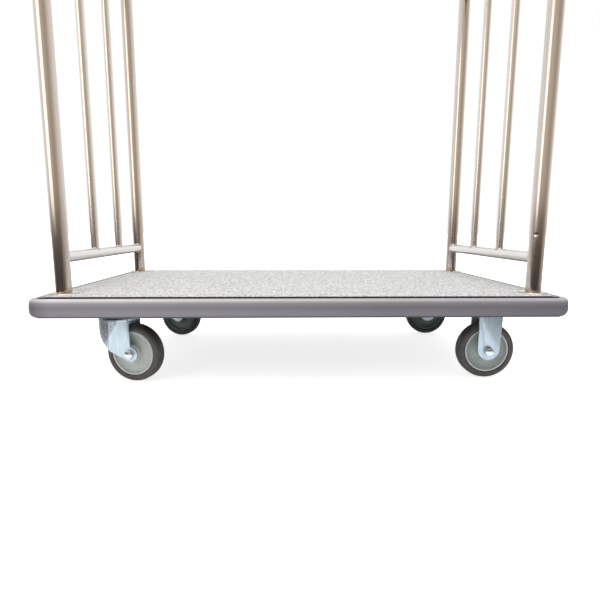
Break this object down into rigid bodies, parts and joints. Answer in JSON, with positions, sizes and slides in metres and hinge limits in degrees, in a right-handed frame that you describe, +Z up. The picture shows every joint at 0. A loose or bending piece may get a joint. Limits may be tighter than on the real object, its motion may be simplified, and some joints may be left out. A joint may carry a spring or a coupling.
{
  "type": "hotel luggage cart",
  "caption": "Luggage cart with a carpeted deck, soft bumper, bent-tube end frames, a hanging rail and swivel and rigid casters.",
  "frame": {"origin": "on the floor, under the middle of the deck", "axes": "+Z up, +X along the deck towards the rigid casters, +Y across the deck towards the rear side"},
  "size_m": [1.0982, 0.6602, 1.75],
  "materials": {
    "stainless_tube": "satin stainless tube, fine lengthwise grain",
    "polished_stainless": "polished stainless steel",
    "plywood": "sanded birch plywood",
    "carpet": "grey speckled loop-pile carpet",
    "vinyl_bumper": "satin extruded grey vinyl",
    "aluminium_band": "mill-finish aluminium",
    "frame_paint": "black powder coat",
    "tyre_rubber": "grey-brown thermoplastic rubber",
    "wheel_core": "moulded grey polypropylene",
    "bearing_nylon": "natural nylon",
    "bearing_steel": "ground bearing steel",
    "zinc_pressing": "bright zinc-plated pressed steel",
    "zinc_fastener": "bright zinc-plated fastener"
  },
  "bodies": {
    "root": {"bumper": "vinyl_bumper", "bumper_channel": "aluminium_band", "bumper_screws": "zinc_fastener", "carpet": "carpet", "caster_beams": "frame_paint", "caster_bolts": "zinc_fastener", "caster_nuts": "zinc_fastener", "deck_panel": "plywood", "deck_screws": "zinc_fastener", "end_rails": "frame_paint", "hanging_rail": "stainless_tube", "kingpin_washers": "zinc_fastener", "kingpins": "zinc_fastener", "post_bolts": "zinc_fastener", "post_flanges": "polished_stainless", "post_inserts": "zinc_fastener", "post_washers": "zinc_fastener", "rail_screws": "zinc_fastener", "rail_sockets": "stainless_tube", "rigid_axle_bolts": "zinc_fastener", "rigid_axle_nuts": "zinc_fastener", "rigid_axle_spacers": "zinc_fastener", "rigid_bracket_front": "zinc_pressing", "rigid_bracket_rear": "zinc_pressing", "rigid_end_baluster_front": "stainless_tube", "rigid_end_baluster_rear": "stainless_tube", "rigid_end_hoop": "stainless_tube", "rigid_end_lower_bar": "stainless_tube", "rigid_end_upper_bar": "stainless_tube", "side_rails": "frame_paint", "swivel_end_baluster_front": "stainless_tube", "swivel_end_baluster_rear": "stainless_tube", "swivel_end_hoop": "stainless_tube", "swivel_end_lower_bar": "stainless_tube", "swivel_end_upper_bar": "stainless_tube", "swivel_plate_front": "zinc_pressing", "swivel_plate_rear": "zinc_pressing"},
    "swivel_front": {"swivel_fork_front": "zinc_pressing", "swivel_balls_front": "bearing_steel", "swivel_axle_bolt_front": "zinc_fastener", "swivel_axle_nut_front": "zinc_fastener", "swivel_axle_spacer_front": "zinc_fastener"},
    "swivel_wheel_front": {"swivel_wheel_front_tyre": "tyre_rubber", "swivel_wheel_front_core": "wheel_core", "swivel_wheel_front_bearing": "bearing_nylon"},
    "rigid_wheel_front": {"rigid_wheel_front_tyre": "tyre_rubber", "rigid_wheel_front_core": "wheel_core", "rigid_wheel_front_bearing": "bearing_nylon"},
    "swivel_rear": {"swivel_fork_rear": "zinc_pressing", "swivel_balls_rear": "bearing_steel", "swivel_axle_bolt_rear": "zinc_fastener", "swivel_axle_nut_rear": "zinc_fastener", "swivel_axle_spacer_rear": "zinc_fastener"},
    "swivel_wheel_rear": {"swivel_wheel_rear_tyre": "tyre_rubber", "swivel_wheel_rear_core": "wheel_core", "swivel_wheel_rear_bearing": "bearing_nylon"},
    "rigid_wheel_rear": {"rigid_wheel_rear_tyre": "tyre_rubber", "rigid_wheel_rear_core": "wheel_core", "rigid_wheel_rear_bearing": "bearing_nylon"}
  },
  "joints": [
    {"name": "swivel_turn_front", "type": "hinge", "parent": "root", "child": "swivel_front", "pos_m": [-0.403, -0.223, 0.141], "axis": [0, 0, 1], "continuous": true},
    {"name": "swivel_wheel_spin_front", "type": "hinge", "parent": "swivel_front", "child": "swivel_wheel_front", "pos_m": [-0.36616, -0.23232, 0.0635], "axis": [0.2453, 0.9694, 0], "continuous": true},
    {"name": "rigid_wheel_spin_front", "type": "hinge", "parent": "root", "child": "rigid_wheel_front", "pos_m": [0.417, -0.223, 0.0635], "axis": [0, 1, 0], "continuous": true},
    {"name": "swivel_turn_rear", "type": "hinge", "parent": "root", "child": "swivel_rear", "pos_m": [-0.403, 0.223, 0.141], "axis": [0, 0, 1], "continuous": true},
    {"name": "swivel_wheel_spin_rear", "type": "hinge", "parent": "swivel_rear", "child": "swivel_wheel_rear", "pos_m": [-0.36656, 0.21221, 0.0635], "axis": [0.284, 0.9588, 0], "continuous": true},
    {"name": "rigid_wheel_spin_rear", "type": "hinge", "parent": "root", "child": "rigid_wheel_rear", "pos_m": [0.417, 0.223, 0.0635], "axis": [0, 1, 0], "continuous": true}
  ]
}
